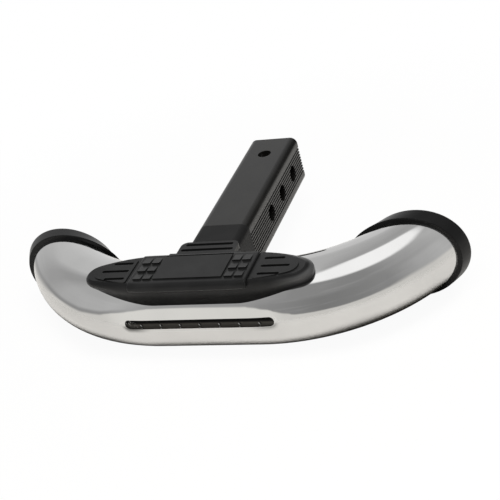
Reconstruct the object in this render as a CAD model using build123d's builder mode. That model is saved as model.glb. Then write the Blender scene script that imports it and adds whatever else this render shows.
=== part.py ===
from build123d import *
import os
from math import asin, degrees
from typing import NamedTuple

# Hitch receiver step: a bent, polished tube with a moulded tread pad, a light bar behind a slot
# in its front, two end caps, and a hollow ribbed shank that slides into a receiver.
# Millimetres. The origin is the hitch pin hole: X along the tube, +Y towards the vehicle, +Z up.
# Heights and reaches on the step itself are measured from the tube's centreline.


class Boat(NamedTuple):
    """A long outline: its reach to the front and rear, and the centre and radius of its tips."""

    front: float
    rear: float
    tip_x: float
    tip_y: float
    tip_radius: float


# Shank
shank_width = 50.0
shank_wall = 6.0
shank_corner = 7.0
shank_bore_corner = 3.0
shank_tail = 31.5
pin_hole_diameter = 16.5
pin_pitch = 38.0
pin_hole_count = 3
cross_hole_diameter = 13.5
groove_count = 9
groove_pitch = 3.2
groove_width = 1.6
groove_depth = 1.0

# Tail plug in the open end of the shank
tail_recess = 0.6
tail_depth = 14.0
tail_face = 3.0
tail_wall = 2.5
tail_clearance = 0.1
tail_wire_hole = 8.0

# Step tube
pin_to_tube = 203.0
tube_drop = 17.5
tube_diameter = 76.2
tube_wall = 2.0
straight_length = 98.0
bend_radius = 150.0
bend_sweep = 76.0
end_reach = 64.0

# Joint between the shank and the tube
shank_lap = 18.0
bolt_diameter = 8.0
bolt_head_diameter = 15.0
bolt_clearance = 0.4
bolt_spacing_x = 20.0
bolt_spacing_y = 18.0
bolt_length = 20.0
nut_plate_width = 48.0
nut_plate_depth = 32.0
nut_plate_thickness = 9.0

# Neck sleeve
sleeve_wall = 1.4
sleeve_clearance = 0.1
sleeve_front = 20.0
sleeve_end = 67.0

# End caps
cap_overhang = 3.7
cap_depth = 15.0
cap_wall = 3.0
cap_edge_radius = 2.0
plug_depth = 14.0
plug_wall = 2.5
plug_clearance = 0.2

# Tread pad body: a hull through boat outlines, each after its drop below the rim
rim_height = 47.0
belt_drop = 7.7
hull_sizes = (
    (30.0, 32.2, 12.0, 94.0, -2.5, 11.5),
    (17.0, 34.0, 13.5, 93.8, -5.5, 13.0),
    (belt_drop, 36.8, 17.2, 91.3, -9.8, 18.2),
    (0.0, 34.0, 9.6, 92.0, -14.5, 12.6),
)
front_flat = 39.6
rear_flat = 43.9
pad_wall = 3.0
pad_clearance = 0.1

# Tread pad relief
lobe_sizes = (34.8, 5.5, 86.5, -14.0, 12.0)
lobe_rise = 0.9
lobe_start = 61.0
lobe_corner = 2.0
lobe_groove_width = 3.4
lobe_groove_depth = 2.4
lobe_groove_start = 64.0
lobe_groove_lengths = (20.5, 27.0, 19.5)
lobe_groove_pitch = 12.2
lobe_groove_middle = -14.2
block_sizes = (41.8, 11.3, 85.1, -10.7, 18.0)
block_half_length = 57.0
block_rise = 2.4
block_foot_drop = 5.5
block_edge_radius = 5.5
block_foot_radius = 2.0
block_end_radius = 1.6
panel_half_length = 33.0
panel_front = -32.4
panel_rear = 3.0
panel_rise = 1.2
rear_groove_place = 5.2
rear_groove_length = 66.0
rear_groove_width = 3.0
rear_groove_depth = 2.2
cleat_columns = (39.25, 48.75)
cleat_fronts = (-32.4, -19.8, -7.2)
cleat_width = 7.5
cleat_depth = 10.5
cleat_rise = 1.5
saddle_half_width = 35.0
saddle_reach = 16.0
tongue_half_width = 28.5
tongue_reach = 34.3
tongue_height = 45.3
tongue_foot_height = 40.5
tongue_corner = 6.5
tongue_grooves = ((29.4, 47.0), (20.8, 51.5))
tongue_groove_width = 3.8
tongue_groove_depth = 2.0
peg_diameter = 7.8
peg_clearance = 0.1
peg_length = 8.0
peg_places = ((40.0, -2.0), (86.0, -8.0))

# Light bar
slot_length = 145.0
slot_height = 9.0
slot_rise = 4.2
slot_cut_depth = 18.0
gasket_thickness = 1.0
gasket_clearance = 0.1
light_wall = 2.0
bar_rise = 1.0
bezel_length = 147.0
bezel_height = 13.0
bezel_thickness = 1.5
bezel_recess = 4.2
bezel_clearance = 0.2
led_count = 7
led_pitch = 19.2
led_diameter = 3.0
led_length = 6.0
led_proud = 1.0
led_clearance = 0.1
board_thickness = 1.6
board_length = 136.0
board_height = 8.0
wire_hole_diameter = 5.0

# Wire grommet in the back of the tube, inside the shank
grommet_hole_diameter = 12.0
grommet_flange_diameter = 16.0
grommet_bore = 6.0
grommet_rise = 10.0
grommet_start = 29.5
grommet_length = 11.0

# Places worked out from the sizes above
hull_sections = [(drop, Boat(*sizes)) for drop, *sizes in hull_sizes]
lobe_boat = Boat(*lobe_sizes)
block_boat = Boat(*block_sizes)
tube_radius = tube_diameter / 2
tube_bore_radius = tube_radius - tube_wall
axis_y = -pin_to_tube
axis_z = -tube_drop
shank_half = shank_width / 2
shank_top = tube_drop + shank_half
shank_front_y = axis_y - shank_lap
shank_length = shank_tail - shank_front_y
bolt_places = [
    (x, y)
    for x in (-bolt_spacing_x / 2, bolt_spacing_x / 2)
    for y in (-bolt_spacing_y / 2, bolt_spacing_y / 2)
]
bezel_front = -(tube_radius - bezel_recess)
bezel_back = bezel_front + bezel_thickness
board_front = bezel_front - led_proud + led_length
board_back = board_front + board_thickness
pocket_length = bezel_length + 2 * bezel_clearance
pocket_height = bezel_height + 2 * bezel_clearance
tray_length = pocket_length + 2 * light_wall
tray_height = pocket_height + 2 * light_wall
tray_back = board_back + light_wall
shank_bore = shank_width - 2 * shank_wall
tail_width = shank_bore - 2 * tail_clearance
tail_end = shank_tail - tail_recess
neck_width = shank_width - 2 * sleeve_wall
belt_height = rim_height - belt_drop
lobe_height = rim_height + lobe_rise
block_height = rim_height + block_rise
block_foot_height = rim_height - block_foot_drop
plug_radius = tube_bore_radius - plug_clearance

os.makedirs("parts", exist_ok=True)


def level(height):
    """Horizontal plane at a height above the tube's centreline."""
    return Plane(origin=(0, axis_y, axis_z + height), x_dir=(1, 0, 0), z_dir=(0, 0, 1))


def upright(reach):
    """Plane facing the front of the step, at a reach behind the tube's centreline."""
    return Plane(origin=(0, axis_y + reach, axis_z), x_dir=(1, 0, 0), z_dir=(0, -1, 0))


def section(x):
    """Plane across the tube at a distance along it from the middle."""
    return Plane(origin=(x, axis_y, axis_z), x_dir=(0, 1, 0), z_dir=(1, 0, 0))


def bent_bar(radius):
    """Solid round bar along the step's centreline, running on past the tube's cut ends."""
    with BuildPart() as bar:
        with BuildSketch(section(0)):
            Circle(radius)
        extrude(amount=straight_length / 2, both=True)
        for side in (-1, 1):
            bend_start = side * straight_length / 2
            with BuildSketch(section(bend_start)):
                Circle(radius)
            bend_axis = Axis((bend_start, axis_y + bend_radius, axis_z), (0, 0, side))
            revolve(axis=bend_axis, revolution_arc=bend_sweep)
    return bar.part


tube_outside = bent_bar(tube_radius)
tube_inside = bent_bar(tube_bore_radius)
pad_seat = bent_bar(tube_radius + pad_clearance)
gasket_back = bent_bar(tube_bore_radius - gasket_clearance)
gasket_face = bent_bar(tube_bore_radius - gasket_thickness)


# Step tube
with BuildPart() as step_tube:
    add(tube_outside)
    add(tube_inside, mode=Mode.SUBTRACT)
    split(bisect_by=upright(end_reach), keep=Keep.TOP)
    with BuildSketch(upright(-tube_radius)):
        with Locations((0, slot_rise)):
            SlotOverall(slot_length, slot_height)
    extrude(amount=slot_cut_depth, both=True, mode=Mode.SUBTRACT)
    with BuildSketch(level(0)):
        with Locations(*bolt_places):
            Circle(bolt_diameter / 2 + bolt_clearance)
        for side in (-1, 1):
            with Locations(*[(side * x, y) for x, y in peg_places]):
                Circle(peg_diameter / 2 + peg_clearance)
    extrude(amount=tube_diameter, mode=Mode.SUBTRACT)
    with BuildSketch(upright(0)):
        with Locations((0, grommet_rise)):
            Circle(grommet_hole_diameter / 2)
    extrude(amount=-tube_diameter, mode=Mode.SUBTRACT)
step_tube.part.label = "step_tube"
export_step(step_tube.part, "parts/step_tube.step")


# Shank: a hollow extrusion with fine grooves along both sides, coped over the tube
with BuildPart() as shank:
    with BuildSketch(Plane(origin=(0, shank_front_y, 0), x_dir=(-1, 0, 0), z_dir=(0, 1, 0))):
        RectangleRounded(shank_width, shank_width, shank_corner)
        RectangleRounded(shank_bore, shank_bore, shank_bore_corner, mode=Mode.SUBTRACT)
        for side in (-1, 1):
            with Locations((side * shank_half, 0)):
                with GridLocations(0, groove_pitch, 1, groove_count):
                    Rectangle(2 * groove_depth, groove_width, mode=Mode.SUBTRACT)
    extrude(amount=shank_length)
    with BuildSketch(Plane(origin=(0, axis_y + sleeve_front, 0), x_dir=(-1, 0, 0), z_dir=(0, 1, 0))):
        Rectangle(2 * shank_width, 2 * shank_width)
        RectangleRounded(neck_width, neck_width, shank_corner - sleeve_wall, mode=Mode.SUBTRACT)
    extrude(amount=sleeve_end - sleeve_front, mode=Mode.SUBTRACT)
    add(tube_outside, mode=Mode.SUBTRACT)
    with BuildSketch(Plane.YZ):
        with Locations(*[(-index * pin_pitch, 0) for index in range(pin_hole_count)]):
            Circle(pin_hole_diameter / 2)
    extrude(amount=shank_width, both=True, mode=Mode.SUBTRACT)
    with BuildSketch(Plane.XY):
        Circle(cross_hole_diameter / 2)
    extrude(amount=shank_width, both=True, mode=Mode.SUBTRACT)
    with Locations(level(shank_top)):
        with Locations(*bolt_places):
            CounterSinkHole(
                radius=bolt_diameter / 2 + bolt_clearance,
                counter_sink_radius=bolt_head_diameter / 2,
                depth=2 * shank_wall,
                counter_sink_angle=90,
            )
shank.part.label = "shank"
export_step(shank.part, "parts/shank.step")


# Tail plug: a cup that closes the end of the shank, with a hole for the wire
with BuildPart() as tail_plug:
    with BuildSketch(Plane(origin=(0, tail_end, 0), x_dir=(-1, 0, 0), z_dir=(0, 1, 0))):
        RectangleRounded(tail_width, tail_width, shank_bore_corner)
        Circle(tail_wire_hole / 2, mode=Mode.SUBTRACT)
    extrude(amount=-tail_depth)
    with BuildSketch(Plane(origin=(0, tail_end - tail_face, 0), x_dir=(-1, 0, 0), z_dir=(0, 1, 0))):
        tail_room = tail_width - 2 * tail_wall
        RectangleRounded(tail_room, tail_room, shank_bore_corner - tail_wall / 2)
    extrude(amount=-tail_depth, mode=Mode.SUBTRACT)
tail_plug.part.label = "tail_plug"
export_step(tail_plug.part, "parts/tail_plug.step")


# Neck sleeve: a thin smooth cover over the root of the shank, flush with its faces
with BuildPart() as neck_sleeve:
    with BuildSketch(Plane(origin=(0, axis_y + sleeve_front, 0), x_dir=(-1, 0, 0), z_dir=(0, 1, 0))):
        sleeve_bore = neck_width + 2 * sleeve_clearance
        RectangleRounded(shank_width, shank_width, shank_corner)
        RectangleRounded(sleeve_bore, sleeve_bore, shank_corner - sleeve_wall, mode=Mode.SUBTRACT)
    extrude(amount=sleeve_end - sleeve_front - sleeve_clearance)
    add(tube_outside, mode=Mode.SUBTRACT)
neck_sleeve.part.label = "neck_sleeve"
export_step(neck_sleeve.part, "parts/neck_sleeve.step")


# Nut plate inside the tube, under its crest
with BuildPart() as nut_plate:
    with BuildSketch(level(tube_bore_radius - nut_plate_thickness)):
        RectangleRounded(nut_plate_width, nut_plate_depth, bolt_diameter / 2)
    extrude(amount=nut_plate_thickness)
    add(tube_inside, mode=Mode.INTERSECT)
    with BuildSketch(level(0)):
        with Locations(*bolt_places):
            Circle(bolt_diameter / 2)
    extrude(amount=tube_diameter, mode=Mode.SUBTRACT)
nut_plate.part.label = "nut_plate"
export_step(nut_plate.part, "parts/nut_plate.step")


# Shank bolts: flat heads, flush with the top of the shank
head_cone = (bolt_head_diameter - bolt_diameter) / 2
with BuildPart() as shank_bolts:
    with BuildSketch(level(shank_top)):
        with Locations(*bolt_places):
            Circle(bolt_head_diameter / 2)
    extrude(amount=-head_cone, taper=45)
    with BuildSketch(level(shank_top)):
        with Locations(*bolt_places):
            Circle(bolt_diameter / 2)
    extrude(amount=-bolt_length)
shank_bolts.part.label = "shank_bolts"
export_step(shank_bolts.part, "parts/shank_bolts.step")


def end_slice(bar, near, far, side):
    """The length of a bent bar between two reaches, on one side of the step."""
    with BuildPart() as piece:
        add(bar)
        split(bisect_by=upright(far), keep=Keep.TOP)
        split(bisect_by=upright(near), keep=Keep.BOTTOM)
        split(bisect_by=section(0), keep=Keep.TOP if side > 0 else Keep.BOTTOM)
    return piece.part


def end_cap(side):
    """Moulded cap for one end of the tube: a rim that follows the bend, a back and a hollow plug."""
    cap_back = end_reach + cap_depth
    plug_front = end_reach - plug_depth
    rim = end_slice(rim_bar, end_reach, cap_back, side)
    plug = end_slice(plug_bar, plug_front, end_reach, side)
    hollow = end_slice(hollow_bar, plug_front, cap_back - cap_wall, side)
    with BuildPart() as cap:
        add(rim)
        fillet(cap.faces().sort_by(Axis.Y)[-1].edges(), cap_edge_radius)
        add(plug)
        add(hollow, mode=Mode.SUBTRACT)
    return cap.part


rim_bar = bent_bar(tube_radius + cap_overhang)
plug_bar = bent_bar(plug_radius)
hollow_bar = bent_bar(plug_radius - plug_wall)

# End caps, pressed into the tube's ends
end_cap_left = end_cap(-1)
end_cap_left.label = "end_cap_left"
export_step(end_cap_left, "parts/end_cap_left.step")

end_cap_right = end_cap(1)
end_cap_right.label = "end_cap_right"
export_step(end_cap_right, "parts/end_cap_right.step")


def sweep(edge, flat, tip_x, tip_radius):
    """Radius and angle of the arc from a flat edge to a tip, where edge is their distance apart."""
    across = tip_x - flat
    radius = (across**2 + edge**2 - tip_radius**2) / (2 * (edge - tip_radius))
    return radius, degrees(asin(across / (radius - tip_radius)))


def boat_outline(boat, grow=0.0):
    """A boat's outline: flat middles, long arcs to both ends and rounded tips."""
    front = boat.front + grow
    rear = boat.rear + grow
    tip_radius = boat.tip_radius + grow
    front_radius, front_angle = sweep(front + boat.tip_y, front_flat, boat.tip_x, tip_radius)
    rear_radius, rear_angle = sweep(rear - boat.tip_y, rear_flat, boat.tip_x, tip_radius)
    with BuildSketch(Plane.XY) as outline:
        with BuildLine():
            nose = Line((0, -front), (front_flat, -front))
            front_arc = JernArc(nose @ 1, (1, 0), front_radius, front_angle)
            tip_arc = JernArc(front_arc @ 1, front_arc % 1, tip_radius, 180 - front_angle - rear_angle)
            rear_arc = JernArc(tip_arc @ 1, tip_arc % 1, rear_radius, rear_angle)
            Line(rear_arc @ 1, (0, rear))
            mirror(about=Plane.YZ)
        make_face()
    return outline.sketch


def pad_form(shrink):
    """The tread pad's plain body: a hull that swells up from the foot and rolls over to the rim."""
    outlines = [(drop, boat_outline(boat, -shrink)) for drop, boat in hull_sections]
    with BuildPart() as form:
        for drop, outline in outlines:
            with BuildSketch(level(rim_height - shrink - drop)):
                add(outline)
        loft()
    return form.part


pad_plain = pad_form(0.0)
pad_inside = pad_form(pad_wall)
lobe_outline = boat_outline(lobe_boat)
block_outline = boat_outline(block_boat)

# Raised lobes at both ends of the tread pad
with BuildPart() as pad_lobes:
    with BuildSketch(level(belt_height)) as lobe_sketch:
        add(lobe_outline)
        Rectangle(2 * lobe_start, 4 * lobe_boat.front, mode=Mode.SUBTRACT)
        lobe_ends = lobe_sketch.vertices().filter_by_position(Axis.X, -lobe_start - 1, lobe_start + 1)
        fillet(lobe_ends, lobe_corner)
    extrude(amount=lobe_height - belt_height)

# Raised middle block of the tread pad, with a rounded lip
with BuildPart() as pad_block:
    with BuildSketch(level(block_foot_height)):
        add(block_outline)
        Rectangle(2 * block_half_length, 4 * block_boat.front, mode=Mode.INTERSECT)
    extrude(amount=block_height - block_foot_height)
    block_top = pad_block.faces().sort_by(Axis.Z)[-1]
    fillet(block_top.edges().filter_by(Axis.Y, reverse=True), block_edge_radius)
    block_ends = pad_block.faces().sort_by(Axis.Z)[-1].edges().filter_by(Axis.Y)
    fillet(block_ends, block_end_radius)
    block_foot = pad_block.faces().sort_by(Axis.Z)[0]
    fillet(block_foot.edges().filter_by(Axis.Y, reverse=True), block_foot_radius)

# Wedge cleats on both sides of the plain panel, steep to the front
with BuildPart() as pad_cleats:
    for cleat_x in cleat_columns:
        for side in (-1, 1):
            with BuildSketch(section(side * cleat_x)):
                with Locations(*[(front, block_height) for front in cleat_fronts]):
                    Polygon(
                        (0, -cleat_rise),
                        (cleat_depth, -cleat_rise),
                        (cleat_depth, 0),
                        (0, cleat_rise),
                        align=None,
                    )
            extrude(amount=cleat_width / 2, both=True)

# Saddle and tongue that reach back from the block over the root of the shank
with BuildPart() as pad_tongue:
    with BuildSketch(level(tongue_foot_height)) as tongue_sketch:
        with Locations((0, saddle_reach / 2)):
            Rectangle(2 * saddle_half_width, saddle_reach)
        with Locations((0, tongue_reach / 2)):
            Rectangle(2 * tongue_half_width, tongue_reach)
        fillet(tongue_sketch.vertices().group_by(Axis.Y)[-1], tongue_corner)
    extrude(amount=tongue_height - tongue_foot_height)

# Tread pad: the body, lobes, block and tongue in one moulding, hollow underneath
with BuildPart() as tread_pad:
    add(pad_plain)
    add(pad_lobes.part)
    add(pad_block.part)
    add(pad_tongue.part)
    add(pad_cleats.part)
    # Plain panel in the middle of the block
    with BuildSketch(level(block_height)):
        with Locations((0, (panel_front + panel_rear) / 2)):
            Rectangle(2 * panel_half_length, panel_rear - panel_front)
    extrude(amount=panel_rise)
    # Grooves in the lobes
    with BuildSketch(level(lobe_height)):
        for side in (-1, 1):
            for index, length in enumerate(lobe_groove_lengths):
                groove_y = lobe_groove_middle + (index - 1) * lobe_groove_pitch
                with Locations((side * (lobe_groove_start + length / 2), groove_y)):
                    SlotOverall(length, lobe_groove_width)
    extrude(amount=-lobe_groove_depth, mode=Mode.SUBTRACT)
    # Groove behind the panel, and grooves across the tongue
    with BuildSketch(level(block_height)):
        with Locations((0, rear_groove_place)):
            SlotOverall(rear_groove_length, rear_groove_width)
    extrude(amount=-rear_groove_depth, mode=Mode.SUBTRACT)
    with BuildSketch(level(tongue_height)):
        for reach, length in tongue_grooves:
            with Locations((0, reach)):
                SlotOverall(length, tongue_groove_width)
    extrude(amount=-tongue_groove_depth, mode=Mode.SUBTRACT)
    # Hollow, passage for the shank, and seat on the tube
    add(pad_inside, mode=Mode.SUBTRACT)
    with BuildSketch(upright(sleeve_end)):
        with Locations((0, tube_drop)):
            passage = shank_width + 2 * pad_clearance
            RectangleRounded(passage, passage, shank_corner)
    extrude(amount=sleeve_end + shank_lap + pad_clearance, mode=Mode.SUBTRACT)
    add(pad_seat, mode=Mode.SUBTRACT)
    # Pegs into the tube
    peg_end = tube_radius - peg_length
    with BuildSketch(level(peg_end)):
        for side in (-1, 1):
            with Locations(*[(side * x, y) for x, y in peg_places]):
                Circle(peg_diameter / 2)
    extrude(amount=rim_height - pad_wall / 2 - peg_end)
tread_pad.part.label = "tread_pad"
export_step(tread_pad.part, "parts/tread_pad.step")


# Light housing: a tray behind the slot, shaped to the inside of the tube
with BuildPart() as light_housing:
    with BuildSketch(upright(tray_back)):
        with Locations((0, bar_rise)):
            SlotOverall(tray_length, tray_height)
    extrude(amount=tube_radius)
    add(gasket_face, mode=Mode.INTERSECT)
    with BuildSketch(upright(bezel_back)):
        with Locations((0, bar_rise)):
            SlotOverall(pocket_length, pocket_height)
    extrude(amount=tube_radius, mode=Mode.SUBTRACT)
    with BuildSketch(upright(board_back)):
        with Locations((0, bar_rise)):
            Rectangle(board_length + 2 * bezel_clearance, board_height + 2 * bezel_clearance)
    extrude(amount=board_back - bezel_back, mode=Mode.SUBTRACT)
    with BuildSketch(upright(tray_back)):
        with Locations((0, bar_rise)):
            Circle(wire_hole_diameter / 2)
    extrude(amount=light_wall, mode=Mode.SUBTRACT)
light_housing.part.label = "light_housing"
export_step(light_housing.part, "parts/light_housing.step")


# Light gasket between the housing's rim and the inside of the tube
with BuildPart() as light_gasket:
    with BuildSketch(upright(tray_back)):
        with Locations((0, bar_rise)):
            SlotOverall(tray_length, tray_height)
            SlotOverall(pocket_length, pocket_height, mode=Mode.SUBTRACT)
    extrude(amount=tube_radius)
    add(gasket_back, mode=Mode.INTERSECT)
    add(gasket_face, mode=Mode.SUBTRACT)
light_gasket.part.label = "light_gasket"
export_step(light_gasket.part, "parts/light_gasket.step")


# Light bezel: the dark strip seen through the slot
with BuildPart() as light_bezel:
    with BuildSketch(upright(bezel_back)):
        with Locations((0, bar_rise)):
            SlotOverall(bezel_length, bezel_height)
            with GridLocations(led_pitch, 0, led_count, 1):
                Circle(led_diameter / 2 + led_clearance, mode=Mode.SUBTRACT)
    extrude(amount=bezel_thickness)
light_bezel.part.label = "light_bezel"
export_step(light_bezel.part, "parts/light_bezel.step")


# Light board on the floor of the housing
with BuildPart() as light_board:
    with BuildSketch(upright(board_back)):
        with Locations((0, bar_rise)):
            Rectangle(board_length, board_height)
    extrude(amount=board_thickness)
light_board.part.label = "light_board"
export_step(light_board.part, "parts/light_board.step")


# Lamps: round bodies with domed ends, on the board and through the bezel
with BuildPart() as light_leds:
    with BuildSketch(upright(board_front)):
        with Locations((0, bar_rise)):
            with GridLocations(led_pitch, 0, led_count, 1):
                Circle(led_diameter / 2)
    extrude(amount=led_length - led_diameter / 2)
    with Locations(upright(board_front - led_length + led_diameter / 2)):
        with Locations((0, bar_rise)):
            with GridLocations(led_pitch, 0, led_count, 1):
                Sphere(led_diameter / 2)
light_leds.part.label = "light_leds"
export_step(light_leds.part, "parts/light_leds.step")


# Wire grommet: a soft bush with a flange on both faces of the tube's wall
with BuildPart() as wire_grommet:
    with BuildSketch(upright(grommet_start)):
        with Locations((0, grommet_rise)):
            Circle(grommet_flange_diameter / 2)
            Circle(grommet_bore / 2, mode=Mode.SUBTRACT)
    extrude(amount=-grommet_length)
    add(step_tube.part, mode=Mode.SUBTRACT)
wire_grommet.part.label = "wire_grommet"
export_step(wire_grommet.part, "parts/wire_grommet.step")
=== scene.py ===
import logging
import math
from dataclasses import dataclass, field
from enum import Enum
from typing import Any, Mapping, Union

import bmesh
import bpy
from mathutils import Matrix, Vector


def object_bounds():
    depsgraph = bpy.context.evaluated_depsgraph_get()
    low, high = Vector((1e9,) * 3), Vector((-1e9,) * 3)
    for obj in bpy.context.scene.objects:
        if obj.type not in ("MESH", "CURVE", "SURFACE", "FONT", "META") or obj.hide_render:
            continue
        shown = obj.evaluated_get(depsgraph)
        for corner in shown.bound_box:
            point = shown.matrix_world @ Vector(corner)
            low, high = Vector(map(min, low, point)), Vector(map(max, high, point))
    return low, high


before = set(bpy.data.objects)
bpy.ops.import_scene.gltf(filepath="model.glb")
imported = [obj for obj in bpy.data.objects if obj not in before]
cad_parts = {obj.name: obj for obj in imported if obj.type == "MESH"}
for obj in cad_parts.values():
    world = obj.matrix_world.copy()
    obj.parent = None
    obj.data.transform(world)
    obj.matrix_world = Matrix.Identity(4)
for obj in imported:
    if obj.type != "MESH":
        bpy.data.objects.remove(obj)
CAD_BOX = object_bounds()

LOG = logging.getLogger("hitch_step")
MM = 0.001
FULL_TURN = 360.0
IMAGE_SIDE = 500
TUBE_Y = -203.0 * MM
TUBE_Z = -17.5 * MM

Colour = tuple[float, float, float]
Span = tuple[float, float]
Stretch = tuple[float, float, float]
Ring = tuple[Span, ...]
Value = Union["Shade", float]

WHITE: Colour = (1.0, 1.0, 1.0)
BLACK: Colour = (0.0, 0.0, 0.0)
EDGE_SAMPLES = 6
EDGE_TURN: Span = (0.01, 0.16)


def grey(level: float) -> Colour:
    """A colour without a tint.

    Args:
        level: How bright it is.

    Returns:
        The colour.
    """
    return (level, level, level)


class Shade:
    """A shader socket that takes part in Python arithmetic."""

    def __init__(self, graph: "Graph", socket: bpy.types.NodeSocket) -> None:
        """Wrap a socket.

        Args:
            graph: The graph that the socket is in.
            socket: The socket.
        """
        self.graph = graph
        self.socket = socket

    def _math(self, operation: str, first: Value, second: Value) -> "Shade":
        """Add a Math node.

        Args:
            operation: The Math node's operation.
            first: Its first value.
            second: Its second value.

        Returns:
            The node's result.
        """
        return self.graph.add("ShaderNodeMath", {"operation": operation}, {0: first, 1: second})

    def __add__(self, other: Value) -> "Shade":
        """Sum."""
        return self._math("ADD", self, other)

    def __radd__(self, other: Value) -> "Shade":
        """Sum with a number on the left."""
        return self._math("ADD", other, self)

    def __sub__(self, other: Value) -> "Shade":
        """Difference."""
        return self._math("SUBTRACT", self, other)

    def __rsub__(self, other: Value) -> "Shade":
        """Difference with a number on the left."""
        return self._math("SUBTRACT", other, self)

    def __mul__(self, other: Value) -> "Shade":
        """Product."""
        return self._math("MULTIPLY", self, other)

    def __rmul__(self, other: Value) -> "Shade":
        """Product with a number on the left."""
        return self._math("MULTIPLY", other, self)

    def __truediv__(self, other: Value) -> "Shade":
        """Quotient."""
        return self._math("DIVIDE", self, other)

    def __pow__(self, other: Value) -> "Shade":
        """Power."""
        return self._math("POWER", self, other)

    def max(self, other: Value) -> "Shade":
        """The larger of two values."""
        return self._math("MAXIMUM", self, other)

    def absolute(self) -> "Shade":
        """The value without its sign."""
        return self._math("ABSOLUTE", self, 0.0)

    def angle_to(self, other: Value) -> "Shade":
        """The angle whose sine is this value and whose cosine is the other."""
        return self._math("ARCTAN2", self, other)

    def fold(self, pitch: float) -> "Shade":
        """Repeat the value.

        Args:
            pitch: The length of one repeat.

        Returns:
            How far the value lies from the nearest whole number of pitches.
        """
        whole = self._math("ROUND", self / pitch, 0.0)
        return self - whole * pitch

    def rise(self, low: Value, high: Value) -> "Shade":
        """A smooth step from 0 to 1.

        Args:
            low: Where it leaves 0.
            high: Where it reaches 1.

        Returns:
            The step.
        """
        return self.graph.add(
            "ShaderNodeMapRange",
            {"interpolation_type": "SMOOTHSTEP"},
            {"Value": self, "From Min": low, "From Max": high},
        )


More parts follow.
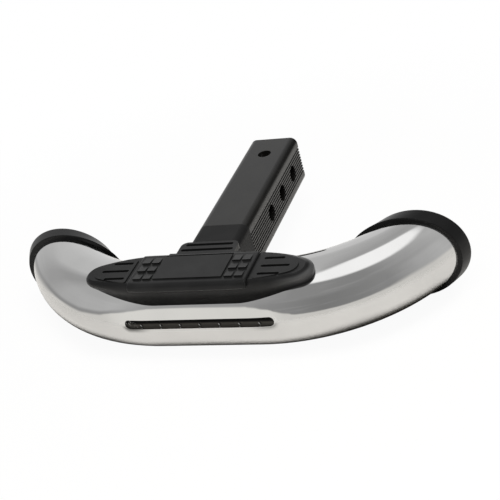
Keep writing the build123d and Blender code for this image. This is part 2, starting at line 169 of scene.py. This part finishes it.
class Graph:
    """A node tree that is filled from Python."""

    def __init__(self, tree: bpy.types.NodeTree) -> None:
        """Take over an empty tree.

        Args:
            tree: The tree.
        """
        self.tree = tree

    @staticmethod
    def _socket(sockets: Any, key: Union[str, int]) -> bpy.types.NodeSocket:
        """Find a socket by its identifier, its name or its number.

        Args:
            sockets: A node's inputs or outputs.
            key: The identifier, name or number.

        Returns:
            The socket.
        """
        if isinstance(key, int):
            return sockets[key]
        for socket in sockets:
            if socket.identifier == key:
                return socket
        return sockets[key]

    def add(
        self,
        kind: str,
        settings: Mapping[str, Any] | None = None,
        inputs: Mapping[Union[str, int], Any] | None = None,
        output: Union[str, int] = 0,
    ) -> Shade:
        """Add a node.

        Args:
            kind: The node's type.
            settings: Its properties; "stops" are a ramp's places and colours.
            inputs: Values or shades for its input sockets.
            output: The output that is returned.

        Returns:
            The chosen output, or the first input of a node without outputs.
        """
        node = self.tree.nodes.new(kind)
        for name, value in (settings or {}).items():
            if name == "stops":
                self._fill_ramp(node.color_ramp, value)
            else:
                setattr(node, name, value)
        for key, value in (inputs or {}).items():
            socket = self._socket(node.inputs, key)
            if isinstance(value, Shade):
                self.tree.links.new(value.socket, socket)
            elif isinstance(value, tuple) and len(value) == 3 and socket.type == "RGBA":
                socket.default_value = (*value, 1.0)
            else:
                socket.default_value = value
        if not node.outputs:
            return Shade(self, node.inputs[0])
        return Shade(self, self._socket(node.outputs, output))

    @staticmethod
    def _fill_ramp(ramp: bpy.types.ColorRamp, stops: list[tuple[float, Colour]]) -> None:
        """Set a ramp's stops.

        Args:
            ramp: The ramp.
            stops: Places and colours, from low to high.
        """
        while len(ramp.elements) < len(stops):
            ramp.elements.new(1.0)
        for element, (place, colour) in zip(ramp.elements, stops):
            element.position = place
            element.color = (*colour, 1.0)

    def mix(self, factor: Value, first: Any, second: Any) -> Shade:
        """Mix two colours.

        Args:
            factor: The share of the second colour.
            first: The first colour.
            second: The second colour.

        Returns:
            The mixed colour.
        """
        return self.add(
            "ShaderNodeMix",
            {"data_type": "RGBA"},
            {"Factor_Float": factor, "A_Color": first, "B_Color": second},
            "Result_Color",
        )

    def place(self, scale: Stretch | None = None) -> Shade:
        """Object coordinates.

        Args:
            scale: The stretch along each axis, if there is one.

        Returns:
            The coordinates.
        """
        spot = self.add("ShaderNodeTexCoord", output="Object")
        return spot if scale is None else self.stretch(spot, scale)

    def stretch(self, vector: Shade, scale: Stretch) -> Shade:
        """Stretch a vector.

        Args:
            vector: The vector.
            scale: The stretch along each axis.

        Returns:
            The stretched vector.
        """
        return self.add("ShaderNodeMapping", None, {"Vector": vector, "Scale": scale})

    def axes(self, vector: Shade) -> tuple[Shade, Shade, Shade]:
        """Split a vector.

        Args:
            vector: The vector.

        Returns:
            Its three parts.
        """
        first = self.add("ShaderNodeSeparateXYZ", None, {0: vector})
        outputs = first.socket.node.outputs
        return first, Shade(self, outputs[1]), Shade(self, outputs[2])

    def noise(
        self, place: Shade, scale: float = 1.0, detail: float = 3.0, rough: float = 0.5
    ) -> Shade:
        """Soft noise between 0 and 1.

        Args:
            place: Where it is read.
            scale: How fine it is.
            detail: How many finer layers it has.
            rough: How strong those layers are.

        Returns:
            The noise.
        """
        return self.add(
            "ShaderNodeTexNoise",
            None,
            {"Vector": place, "Scale": scale, "Detail": detail, "Roughness": rough},
        )

    def bump(
        self, height: Shade, strength: float, distance: float, base: Shade | None = None
    ) -> Shade:
        """A normal that stands for small relief.

        Args:
            height: The relief.
            strength: How much of it shows.
            distance: Its height in metres.
            base: The normal that it starts from.

        Returns:
            The normal.
        """
        inputs: dict[str, Any] = {"Height": height, "Strength": strength, "Distance": distance}
        if base is not None:
            inputs["Normal"] = base
        return self.add("ShaderNodeBump", None, inputs)

    def soft_edges(self, radius: float) -> tuple[Shade, Shade]:
        """Rounded edges.

        Args:
            radius: Their radius in metres.

        Returns:
            The rounded normal, and a mask that is 1 along the edges.
        """
        rounded = self.add("ShaderNodeBevel", {"samples": EDGE_SAMPLES}, {"Radius": radius})
        plain = self.add("ShaderNodeNewGeometry", output="Normal")
        along = self.add(
            "ShaderNodeVectorMath",
            {"operation": "DOT_PRODUCT"},
            {0: rounded, 1: plain},
            "Value",
        )
        return rounded, (1.0 - along).rise(*EDGE_TURN)

    def rays(self) -> tuple[Shade, Shade, Shade]:
        """Masks that are 1 for camera rays, for glossy rays and for rays through glass."""
        camera = self.add("ShaderNodeLightPath", output="Is Camera Ray")
        outputs = camera.socket.node.outputs
        glossy = Shade(self, outputs["Is Glossy Ray"])
        through = Shade(self, outputs["Is Transmission Ray"])
        return camera, glossy, through


def new_material(name: str) -> tuple[bpy.types.Material, Graph]:
    """Make an empty node material.

    Args:
        name: The material's name.

    Returns:
        The material and its graph.
    """
    material = bpy.data.materials.new(name)
    material.use_nodes = True
    material.node_tree.nodes.clear()
    return material, Graph(material.node_tree)


def close_material(graph: Graph, inputs: Mapping[str, Any]) -> None:
    """Add the surface shader and the output of a material.

    Args:
        graph: The material's graph.
        inputs: The values and links of the surface shader.
    """
    surface = graph.add("ShaderNodeBsdfPrincipled", None, inputs)
    graph.add("ShaderNodeOutputMaterial", None, {"Surface": surface})


@dataclass(frozen=True)
class PolishedSteel:
    """Stainless steel tube, polished along its length, with a light slot in its front."""

    name: str = "polished_stainless"
    colour: Colour = (0.640, 0.638, 0.632)
    shadow: Colour = (0.600, 0.598, 0.592)
    cloud_scale: float = 18.0
    roughness: float = 0.05
    wear: float = 0.04
    line_stretch: Stretch = (60.0, 60.0, 900.0)
    line_wear: float = 0.02
    line_strength: float = 0.03
    line_depth: float = 0.02 * MM
    wave_stretch: Stretch = (14.0, 14.0, 26.0)
    wave_depth: float = 0.12 * MM
    dimple_stretch: Stretch = (110.0, 110.0, 150.0)
    dimple_depth: float = 0.012 * MM
    slot_half: float = 68.0 * MM
    slot_level: float = TUBE_Z + 4.2 * MM
    slot_radius: float = 4.5 * MM
    slot_front: Span = (TUBE_Y - 20.0 * MM, TUBE_Y - 10.0 * MM)
    roll: float = 3.2 * MM
    roll_depth: float = 0.35 * MM
    # Darker, rougher patches on the steel just under the slot's ends, stronger towards the left.
    slot_end_patch: Colour = (0.13, 0.13, 0.125)
    patch_reach: float = 5.5 * MM
    patch_ends: Span = (44.0 * MM, 66.0 * MM)
    patch_below: Span = (-4.0 * MM, 0.0)
    patch_left: Span = (-30.0 * MM, 30.0 * MM)
    patch_least: float = 0.65
    patch_share: float = 0.95
    patch_roughness: float = 0.15

    def slot_rim(self, graph: Graph) -> tuple[Shade, Shade]:
        """The steel around the light slot.

        Args:
            graph: The material's graph.

        Returns:
            How far it is pressed in, and how strong the darker, rougher patches under the slot's
            ends are.
        """
        across, along, height = graph.axes(graph.place())
        outward = across.absolute()
        beyond = (outward - self.slot_half).max(0.0)
        above = height - self.slot_level
        gap = (beyond * beyond + above * above) ** 0.5 - self.slot_radius
        front = 1.0 - along.rise(*self.slot_front)
        pressed = (1.0 - gap.rise(0.0, self.roll)) * front
        ends = outward.rise(*self.patch_ends) * (1.0 - above.rise(*self.patch_below))
        leftward = (0.0 - across).rise(*self.patch_left)
        share = self.patch_least + (1.0 - self.patch_least) * leftward
        # The darker patch: near the slot's edge, under its ends, stronger on the left.
        slot_end_patch = (1.0 - gap.rise(0.0, self.patch_reach)) * ends * front * share
        return pressed, slot_end_patch

    def build(self) -> bpy.types.Material:
        """Make the material."""
        material, graph = new_material(self.name)
        cloud = graph.noise(graph.place(), self.cloud_scale, 4.0)
        lines = graph.noise(graph.place(self.line_stretch), 1.0, 3.0, 0.6)
        waves = graph.noise(graph.place(self.wave_stretch), 1.0, 1.5, 0.4)
        dimples = graph.noise(graph.place(self.dimple_stretch), 1.0, 1.0, 0.4)
        pressed, slot_end_patch = self.slot_rim(graph)
        tint = graph.mix(cloud.rise(0.35, 0.75), self.colour, self.shadow)
        rough = self.roughness + self.wear * cloud.rise(0.45, 0.8) + self.line_wear * lines
        waved = graph.bump(waves, 1.0, self.wave_depth)
        dimpled = graph.bump(dimples, 1.0, self.dimple_depth, waved)
        rolled = graph.bump(0.0 - pressed, 1.0, self.roll_depth, dimpled)
        close_material(graph, {
            "Base Color": graph.mix(self.patch_share * slot_end_patch, tint, self.slot_end_patch),
            "Metallic": 1.0,
            "Roughness": rough + self.patch_roughness * slot_end_patch,
            "Normal": graph.bump(lines, self.line_strength, self.line_depth, rolled),
        })
        return material


@dataclass(frozen=True)
class SatinBlack:
    """A black moulding or coating with a fine grain and paler, rubbed high spots.

    It can be matt below a height, and darker there as painted shade. Then it can also carry a
    painted sheen on its right end, and more of that painted shade at its left end.
    """

    name: str
    colour: Colour
    rubbed: Colour
    roughness: float
    spread: float
    grain: float
    depth: float
    strength: float
    specular: float = 0.5
    cloud_scale: float = 30.0
    cloud_wear: float = 0.5
    grain_spread: float = 0.06
    rub_shine: float = 0.06
    edge: float = 0.5 * MM
    edge_wear: float = 0.6
    wear_above: float = -1.0
    wear_blend: float = 3.0 * MM
    # Below this height the surface is matter and darker; the darkening is painted shade.
    matt_shade_below: float | None = None
    matt_shade_blend: float = 12.0 * MM
    painted_shade_dark: float = 0.55
    matt_rough: float = 0.15
    matt_specular: float = 0.3
    # A painted sheen on the right end's walls, below the top's edges.
    painted_sheen: Colour | None = None
    painted_sheen_end: Span = (74.0 * MM, 110.0 * MM)
    # More of the painted shade at the left end, where less light falls.
    shaded_left_end: Span = (-108.0 * MM, -40.0 * MM)
    shaded_left_gloss: float = 0.6

    def build(self) -> bpy.types.Material:
        """Make the material."""
        material, graph = new_material(self.name)
        spot = graph.place()
        across, _, height = graph.axes(spot)
        cloud = graph.noise(spot, self.cloud_scale, 4.0, 0.6)
        grain = graph.noise(spot, self.grain, 2.0, 0.5)
        rounded, edges = graph.soft_edges(self.edge)
        edges = edges * height.rise(self.wear_above, self.wear_above + self.wear_blend)
        worn = self.edge_wear * edges * cloud.rise(0.25, 0.6)
        rub = (self.cloud_wear * cloud.rise(0.4, 0.75)).max(worn)
        tint = graph.mix(rub, self.colour, self.rubbed)
        rough = self.roughness + self.spread * (cloud - 0.5)
        rough = rough + self.grain_spread * (grain - 0.5) - self.rub_shine * rub
        satin = {
            "Base Color": tint,
            "Roughness": rough,
            "Specular IOR Level": self.specular,
            "Normal": graph.bump(grain, self.strength, self.depth, rounded),
        }
        if self.matt_shade_below is None:
            close_material(graph, satin)
            return material
        # The lower shader: matter, and darkened as painted shade.
        matt_and_shaded = {
            **satin,
            "Base Color": graph.mix(self.painted_shade_dark, tint, BLACK),
            "Roughness": rough + self.matt_rough,
            "Specular IOR Level": self.matt_specular * self.specular,
        }
        # The lit, glossy shader above the height; the matt one with painted shade below it.
        gloss_and_light = height.rise(self.matt_shade_below, self.matt_shade_below + self.matt_shade_blend)
        if self.painted_sheen is not None:
            # A painted sheen on the right end's walls, below the top's edges.
            blend = 0.5 * self.wear_blend
            sides = 1.0 - height.rise(self.wear_above - blend, self.wear_above + blend)
            sheen_mask = across.rise(*self.painted_sheen_end) * sides
            satin["Base Color"] = graph.mix(sheen_mask, tint, self.painted_sheen)
            # More of the painted shade towards the left end.
            bright = across.rise(*self.shaded_left_end)
            gloss_and_light = gloss_and_light * (self.shaded_left_gloss + (1.0 - self.shaded_left_gloss) * bright)
        surface = graph.add("ShaderNodeMixShader", None, {
            0: gloss_and_light,
            1: graph.add("ShaderNodeBsdfPrincipled", None, matt_and_shaded),
            2: graph.add("ShaderNodeBsdfPrincipled", None, satin),
        })
        graph.add("ShaderNodeOutputMaterial", None, {"Surface": surface})
        return material


@dataclass(frozen=True)
class LampStrip:
    """The dark strip around the lamps: a painted shadow over its upper half, paler and dusty
    below.
    """

    name: str = "lamp_strip"
    # The painted shadow of the slot's top edge, over the strip's upper half.
    painted_shadow: Colour = grey(0.0015)
    lower: Colour = (0.075, 0.070, 0.061)
    level: float = TUBE_Z + 2.7 * MM
    blur: float = 1.4 * MM
    dust: Colour = (0.095, 0.090, 0.080)
    dust_scale: float = 420.0
    dust_share: float = 0.5
    dust_strength: float = 0.2
    dust_depth: float = 0.05 * MM
    fleck: Colour = (0.55, 0.54, 0.52)
    fleck_stretch: Stretch = (700.0, 700.0, 1000.0)
    fleck_end: Span = (-63.0 * MM, -61.0 * MM)
    roughness: float = 0.55
    spread: float = 0.2
    specular: float = 0.08

    def build(self) -> bpy.types.Material:
        """Make the material."""
        material, graph = new_material(self.name)
        spot = graph.place()
        across, _, height = graph.axes(spot)
        dust = graph.noise(spot, self.dust_scale, 4.0, 0.6)
        flecks = graph.noise(graph.place(self.fleck_stretch), 1.0, 1.0).rise(0.60, 0.68)
        flecks = flecks * (1.0 - across.rise(*self.fleck_end))
        # The painted shadow covers the strip above this level.
        shaded = height.rise(self.level - self.blur, self.level + self.blur)
        dusty = graph.mix(self.dust_share * dust, self.lower, self.dust)
        strip = graph.mix(shaded, dusty, self.painted_shadow)
        close_material(graph, {
            "Base Color": graph.mix(flecks, strip, self.fleck),
            "Roughness": self.roughness + self.spread * dust,
            "Specular IOR Level": self.specular,
            "Normal": graph.bump(dust, self.dust_strength, self.dust_depth),
        })
        return material


@dataclass(frozen=True)
class LampLens:
    """The smoked lens of a lamp, with a short bright slanting glint painted on it."""

    name: str = "lamp_lens"
    smoke: Colour = (0.020, 0.019, 0.017)
    # The colour of the painted glint.
    glint_colour: Colour = (0.50, 0.50, 0.48)
    pitch: float = 19.2 * MM
    level: float = TUBE_Z + 1.0 * MM
    slant: float = 0.55
    glint_width: Span = (0.252 * MM, 0.588 * MM)
    glint_length: Span = (0.875 * MM, 1.25 * MM)
    cloud_scale: float = 900.0
    roughness: float = 0.12
    spread: float = 0.1
    specular: float = 0.3

    def build(self) -> bpy.types.Material:
        """Make the material."""
        material, graph = new_material(self.name)
        across, _, height = graph.axes(graph.place())
        sideways = across.fold(self.pitch)
        above = height - self.level
        lean = (sideways + self.slant * above).absolute()
        # A short slanting painted glint on each lens.
        bright = 1.0 - lean.rise(*self.glint_width)
        bright = bright * (1.0 - above.absolute().rise(*self.glint_length))
        cloud = graph.noise(graph.place(), self.cloud_scale, 2.0)
        close_material(graph, {
            "Base Color": graph.mix(bright, self.smoke, self.glint_colour),
            "Roughness": self.roughness + self.spread * cloud,
            "Specular IOR Level": self.specular,
        })
        return material


@dataclass(frozen=True)
class PlainSteel:
    """Zinc-plated steel of the hidden hardware."""

    name: str = "plated_steel"
    colour: Colour = (0.50, 0.50, 0.48)
    dull: Colour = (0.36, 0.36, 0.35)
    cloud_scale: float = 220.0
    roughness: float = 0.32
    spread: float = 0.2

    def build(self) -> bpy.types.Material:
        """Make the material."""
        material, graph = new_material(self.name)
        cloud = graph.noise(graph.place(), self.cloud_scale, 4.0, 0.6)
        close_material(graph, {
            "Base Color": graph.mix(cloud.rise(0.35, 0.7), self.colour, self.dull),
            "Metallic": 1.0,
            "Roughness": self.roughness + self.spread * cloud,
        })
        return material


PAD_BLACK = SatinBlack(
    name="pad_plastic",
    colour=grey(0.008),
    rubbed=grey(0.020),
    roughness=0.34,
    spread=0.10,
    grain=2600.0,
    depth=0.05 * MM,
    strength=0.25,
    specular=0.20,
    edge=0.25 * MM,
    wear_above=TUBE_Z + 44.5 * MM,
    # Painted shade on the pad's lower walls, below this height.
    matt_shade_below=TUBE_Z + 29.0 * MM,
    # A painted sheen on the pad's right end.
    painted_sheen=grey(0.075),
)
CAP_BLACK = SatinBlack(
    name="cap_plastic",
    colour=grey(0.004),
    rubbed=grey(0.009),
    roughness=0.30,
    spread=0.08,
    grain=2200.0,
    depth=0.04 * MM,
    strength=0.20,
    specular=0.18,
    edge=1.8 * MM,
    edge_wear=0.0,
)
SHANK_BLACK = SatinBlack(
    name="shank_coating",
    colour=(0.005, 0.0047, 0.0042),
    rubbed=(0.012, 0.0113, 0.010),
    roughness=0.30,
    spread=0.12,
    grain=1500.0,
    depth=0.06 * MM,
    strength=0.25,
    specular=0.36,
)
SLEEVE_BLACK = SatinBlack(
    name="sleeve_plastic",
    colour=grey(0.013),
    rubbed=grey(0.019),
    roughness=0.40,
    spread=0.08,
    grain=2400.0,
    depth=0.05 * MM,
    strength=0.22,
    specular=0.06,
)
HOUSING_BLACK = SatinBlack(
    name="housing_plastic",
    colour=grey(0.012),
    rubbed=grey(0.018),
    roughness=0.5,
    spread=0.08,
    grain=2400.0,
    depth=0.05 * MM,
    strength=0.2,
)
RUBBER_BLACK = SatinBlack(
    name="soft_rubber",
    colour=grey(0.010),
    rubbed=grey(0.016),
    roughness=0.7,
    spread=0.1,
    grain=3000.0,
    depth=0.05 * MM,
    strength=0.3,
)
BOARD_DARK = SatinBlack(
    name="board_laminate",
    colour=(0.008, 0.020, 0.012),
    rubbed=(0.012, 0.028, 0.018),
    roughness=0.45,
    spread=0.1,
    grain=2600.0,
    depth=0.03 * MM,
    strength=0.2,
)


def dress(node: str, material: bpy.types.Material) -> None:
    """Give a carried-over node its material.

    Args:
        node: The node's name.
        material: The finished material.
    """
    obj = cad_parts[node]
    for slot in obj.material_slots:
        slot.material = material
    if not obj.material_slots:
        obj.data.materials.append(material)
    LOG.info("dressed %s with %s", node, material.name)


@dataclass
class StepTube:
    """The bent tube and its two end caps."""

    steel: PolishedSteel = field(default_factory=PolishedSteel)
    cap: SatinBlack = CAP_BLACK

    def build(self) -> None:
        """Dress the tube and the caps."""
        dress("step_tube", self.steel.build())
        cap = self.cap.build()
        for node in ("end_cap_left", "end_cap_right"):
            dress(node, cap)


@dataclass
class Shank:
    """The shank, its sleeve and what holds it to the tube."""

    coating: SatinBlack = SHANK_BLACK
    sleeve: SatinBlack = SLEEVE_BLACK
    rubber: SatinBlack = RUBBER_BLACK
    plug: SatinBlack = HOUSING_BLACK
    hardware: PlainSteel = field(default_factory=PlainSteel)

    def build(self) -> None:
        """Dress the shank's nodes."""
        dress("shank", self.coating.build())
        dress("neck_sleeve", self.sleeve.build())
        dress("wire_grommet", self.rubber.build())
        dress("tail_plug", self.plug.build())
        plated = self.hardware.build()
        for node in ("nut_plate", "shank_bolts"):
            dress(node, plated)


@dataclass
class TreadPad:
    """The moulded tread pad."""

    plastic: SatinBlack = PAD_BLACK

    def build(self) -> None:
        """Dress the pad."""
        dress("tread_pad", self.plastic.build())


@dataclass
class LightBar:
    """The lamps behind the slot."""

    bezel: LampStrip = field(default_factory=LampStrip)
    board: SatinBlack = BOARD_DARK
    housing: SatinBlack = HOUSING_BLACK
    gasket: SatinBlack = RUBBER_BLACK
    lens: LampLens = field(default_factory=LampLens)

    def build(self) -> None:
        """Dress the light bar's nodes."""
        dress("light_bezel", self.bezel.build())
        dress("light_board", self.board.build())
        dress("light_housing", self.housing.build())
        dress("light_gasket", self.gasket.build())
        dress("light_leds", self.lens.build())


@dataclass
class Viewpoint:
    """The camera, turned about the tube's middle."""

    azimuth: float = 25.34
    elevation: float = 29.54
    roll: float = -15.64
    focal_pixels: float = 1372.8
    right: float = 34.77 * MM
    above: float = 48.74 * MM
    distance: float = 1251.76 * MM
    sensor: float = 36.0
    clip: Span = (0.01, 50.0)

    def build(self) -> None:
        """Make the camera and set it as the scene's."""
        turn, lift, lean = (math.radians(v) for v in (self.azimuth, self.elevation, self.roll))
        back = Vector((
            math.sin(turn) * math.cos(lift),
            -math.cos(turn) * math.cos(lift),
            math.sin(lift),
        ))
        level = (-back).cross(Vector((0, 0, 1))).normalized()
        upward = level.cross(-back)
        right = math.cos(lean) * level + math.sin(lean) * upward
        above = -math.sin(lean) * level + math.cos(lean) * upward
        data = bpy.data.cameras.new("viewpoint")
        data.sensor_fit = "HORIZONTAL"
        data.sensor_width = self.sensor
        data.lens = self.focal_pixels / IMAGE_SIDE * self.sensor
        data.clip_start, data.clip_end = self.clip
        camera = bpy.data.objects.new("viewpoint", data)
        spot = Vector((0, TUBE_Y, TUBE_Z)) + back * self.distance
        spot += right * self.right + above * self.above
        turned = Matrix((right, above, back)).transposed().to_4x4()
        camera.matrix_world = Matrix.Translation(spot) @ turned
        bpy.context.scene.collection.objects.link(camera)
        bpy.context.scene.camera = camera


class LampKind(Enum):
    """What a lamp is there for."""

    KEY = "key"
    FILL = "fill"


@dataclass(frozen=True)
class Lamp:
    """A soft square lamp that points at the step."""

    kind: LampKind
    spot: tuple[float, float, float]
    side: float
    power: float

    def build(self) -> None:
        """Make the lamp."""
        data = bpy.data.lights.new(f"lamp_{self.kind.value}", "AREA")
        data.shape = "SQUARE"
        data.size = self.side
        data.energy = self.power
        lamp = bpy.data.objects.new(data.name, data)
        aim = Vector((0, TUBE_Y, 0)) - Vector(self.spot)
        lamp.location = self.spot
        lamp.rotation_euler = aim.to_track_quat("-Z", "Y").to_euler()
        lamp.visible_glossy = False
        bpy.context.scene.collection.objects.link(lamp)


@dataclass(frozen=True)
class Floor:
    """The pale floor: nearly white to the camera, and dark where the tube stands on it.

    Far from the step it is clear to reflections, which see the surroundings there. The shade
    under the tube starts and spans by how open the floor is, and is wider at the two bends.
    """

    radius: float = 0.62
    segments: int = 96
    behind: float = 0.06
    gap: float = 0.2 * MM
    colour: Colour = (0.95, 0.925, 0.885)
    fleck: Colour = (0.7, 0.7, 0.68)
    fleck_scale: float = 60.0
    fleck_share: float = 0.08
    shade: Colour = (0.055, 0.050, 0.042)
    shade_samples: int = 8
    shade_reach: float = 0.09
    shade_start: float = 0.20
    shade_span: float = 0.17
    right_bend: Span = (0.04, 0.15)
    right_start: float = 0.14
    right_span: float = 0.10
    left_bend: Span = (0.06, 0.14)
    left_start: float = 0.16
    left_span: float = 0.08
    white: float = 0.95
    rim: Span = (0.45, 0.97)
    clear: Span = (0.16, 0.25)
    clear_squeeze: float = 0.42

    def contact(self, graph: Graph, across: Shade) -> Shade:
        """The shade under the tube.

        Args:
            graph: The material's graph.
            across: The place along the tube.

        Returns:
            A mask that is 1 in the shade.
        """
        openness = graph.add(
            "ShaderNodeAmbientOcclusion",
            {"samples": self.shade_samples},
            {"Distance": self.shade_reach},
            "AO",
        )
        right = across.rise(*self.right_bend)
        left = (0.0 - across).rise(*self.left_bend)
        start = self.shade_start + self.right_start * right + self.left_start * left
        span = self.shade_span + self.right_span * right + self.left_span * left
        return 1.0 - openness.rise(start, start + span)

    def paint(self, centre: Vector) -> bpy.types.Material:
        """Make the material.

        Args:
            centre: The floor's centre.

        Returns:
            The material.
        """
        material, graph = new_material("pale_floor")
        camera, glossy, through = graph.rays()
        across, along, _ = graph.axes(graph.place())
        deep = (along - centre.y) * (along - centre.y)
        wide = across * across
        rim = ((wide + deep) ** 0.5).rise(*(self.radius * share for share in self.rim))
        far = ((self.clear_squeeze * wide + deep) ** 0.5).rise(*self.clear)
        grain = graph.noise(graph.place(), self.fleck_scale, 4.0)
        tint = graph.mix(self.fleck_share * grain, self.colour, self.fleck)
        tint = graph.mix(self.contact(graph, across), tint, self.shade)
        matt_and_shaded = graph.add("ShaderNodeBsdfDiffuse", None, {"Color": tint})
        glow = graph.add("ShaderNodeEmission", None, {"Color": WHITE, "Strength": 1.0})
        share = camera.max(through) * (self.white + (1.0 - self.white) * rim)
        seen = graph.add("ShaderNodeMixShader", None, {0: share, 1: matt_and_shaded, 2: glow})
        clear = graph.add("ShaderNodeBsdfTransparent")
        surface = graph.add("ShaderNodeMixShader", None, {0: glossy * far, 1: seen, 2: clear})
        graph.add("ShaderNodeOutputMaterial", None, {"Surface": surface})
        return material

    def build(self) -> None:
        """Make the floor, level with the lowest point of the step."""
        mesh = bpy.data.meshes.new("floor")
        shape = bmesh.new()
        bmesh.ops.create_circle(shape, cap_ends=True, segments=self.segments, radius=self.radius)
        centre = Vector((0, TUBE_Y + self.behind, CAD_BOX[0].z - self.gap))
        bmesh.ops.translate(shape, vec=centre, verts=shape.verts)
        shape.to_mesh(mesh)
        shape.free()
        mesh.materials.append(self.paint(centre))
        floor = bpy.data.objects.new("floor", mesh)
        bpy.context.scene.collection.objects.link(floor)


@dataclass(frozen=True)
class Surroundings:
    """The world: white to the camera, with grey walls and a roof where the tube looks.

    A ring holds azimuths in degrees, from the front towards the right, and the values there.
    """

    sky: Colour = grey(0.28)
    pale: Colour = (0.89, 0.872, 0.835)
    pale_ahead: Colour = (1.02, 1.005, 0.965)
    ahead: Span = (0.3, 0.6)
    high_wall: Ring = (
        (-180.0, 0.50), (-165.0, 0.58), (-150.0, 0.74), (-122.0, 0.72), (-108.0, 0.48),
        (-98.0, 0.46), (-85.0, 0.58), (-45.0, 0.62), (-20.0, 0.45), (0.0, 0.37),
        (55.0, 0.35), (82.0, 0.50), (115.0, 0.64), (180.0, 0.50),
    )
    low_wall: Ring = (
        (-180.0, 0.55), (-165.0, 0.84), (-150.0, 0.76), (-120.0, 0.61), (-106.0, 0.50),
        (-98.0, 0.49), (-86.0, 0.60), (-50.0, 0.65), (-12.0, 0.38), (20.0, 0.29),
        (60.0, 0.36), (78.0, 0.56), (95.0, 0.64), (118.0, 0.50), (134.0, 0.09),
        (170.0, 0.09), (180.0, 0.55),
    )
    wall_blend: Span = (0.38, 0.56)
    horizon: Ring = (
        (-180.0, 0.18), (-150.0, 0.10), (-122.0, 0.12), (-98.0, 0.22), (-72.0, 0.20),
        (-58.0, 0.29), (-45.0, 0.50), (-36.0, 0.65), (-27.0, 0.78), (-18.0, 0.70),
        (-9.0, 0.57), (-3.0, 0.39), (4.0, 0.26), (14.0, 0.22), (30.0, 0.20),
        (45.0, 0.22), (70.0, 0.32), (91.0, 0.28), (180.0, 0.18),
    )
    horizon_drop: float = 0.40
    haze: Ring = (
        (-180.0, 0.08), (-140.0, 0.13), (-106.0, 0.13), (-90.0, 0.04), (45.0, 0.04),
        (62.0, 0.10), (80.0, 0.08), (95.0, 0.05), (180.0, 0.08),
    )
    streak: Colour = (0.75, 0.75, 0.76)
    streak_stretch: Stretch = (2.0, 2.0, 9.0)
    streak_share: float = 0.16
    roof: Colour = grey(1.38)
    roof_lean: Span = (0.077, 0.064)
    roof_level: Span = (0.865, 0.915)
    roof_skew: float = 0.35
    roof_side: Span = (-0.07, 0.03)
    skirting: Colour = grey(0.34)
    skirting_left: Span = (0.50, 0.85)
    skirting_level: Span = (0.06, 0.20)
    skirting_share: float = 0.8

    @staticmethod
    def around(graph: Graph, turn: Shade, ring: Ring) -> Shade:
        """A value that changes around the step.

        Args:
            graph: The world's graph.
            turn: The azimuth, as a share of a full turn that starts at the back.
            ring: The ring.

        Returns:
            The value in each direction.
        """
        stops = [(place / FULL_TURN + 0.5, grey(value)) for place, value in ring]
        return graph.add("ShaderNodeValToRGB", {"stops": stops}, {0: turn})

    def cards(self, graph: Graph) -> Shade:
        """The studio as the polished tube sees it.

        Args:
            graph: The world's graph.

        Returns:
            Its colour by direction.
        """
        way = graph.add("ShaderNodeTexCoord", output="Generated")
        x, y, z = graph.axes(way)
        turn = x.angle_to(0.0 - y) / (2.0 * math.pi) + 0.5
        rings = (self.low_wall, self.high_wall, self.horizon, self.haze)
        low, high, level, haze = (self.around(graph, turn, ring) for ring in rings)
        edge = level - self.horizon_drop
        below = 1.0 - z.rise(edge - haze, edge + haze)
        wall = graph.mix(z.rise(*self.wall_blend), low, high)
        streaks = graph.noise(graph.stretch(way, self.streak_stretch)).rise(0.5, 0.75)
        wall = graph.mix(self.streak_share * streaks, wall, self.streak)
        tilted = z + self.roof_lean[0] * x + self.roof_lean[1] * y
        rightward = (x - self.roof_skew * y).rise(*self.roof_side)
        wall = graph.mix(tilted.rise(*self.roof_level) * rightward, wall, self.roof)
        leftward = (0.0 - x).rise(*self.skirting_left)
        foot, head = (edge + rise for rise in self.skirting_level)
        crease = leftward * (1.0 - z.rise(foot, head))
        wall = graph.mix(self.skirting_share * crease, wall, self.skirting)
        ground = graph.mix(level.rise(*self.ahead), self.pale, self.pale_ahead)
        return graph.mix(below, wall, ground)

    def build(self) -> None:
        """Make the world and set it as the scene's."""
        world = bpy.data.worlds.new("studio")
        bpy.context.scene.world = world
        world.use_nodes = True
        world.node_tree.nodes.clear()
        graph = Graph(world.node_tree)
        camera, glossy, through = graph.rays()
        seen = camera.max(glossy).max(through)
        backdrop = graph.mix(glossy, WHITE, self.cards(graph))
        light = graph.mix(seen, self.sky, backdrop)
        glow = graph.add("ShaderNodeBackground", None, {"Color": light, "Strength": 1.0})
        graph.add("ShaderNodeOutputWorld", None, {"Surface": glow})


@dataclass
class Studio:
    """The floor, the surroundings and the lamps."""

    floor: Floor = field(default_factory=Floor)
    surroundings: Surroundings = field(default_factory=Surroundings)
    lamps: tuple[Lamp, ...] = (
        Lamp(kind=LampKind.KEY, spot=(0.48, -0.72, 1.42), side=1.1, power=24.5),
        Lamp(kind=LampKind.FILL, spot=(-0.9, -1.1, 1.0), side=1.0, power=1.6),
    )

    def build(self) -> None:
        """Make the floor, the surroundings and the lamps."""
        for piece in (self.floor, self.surroundings, *self.lamps):
            piece.build()


def main() -> None:
    """Build the step's sub-assemblies, the studio and the camera."""
    logging.basicConfig(level=logging.INFO)
    bpy.context.scene.view_settings.view_transform = "Standard"
    for assembly in (StepTube(), Shank(), TreadPad(), LightBar(), Studio(), Viewpoint()):
        assembly.build()
        LOG.info("built %s", type(assembly).__name__)


if __name__ == "__main__":
    main()
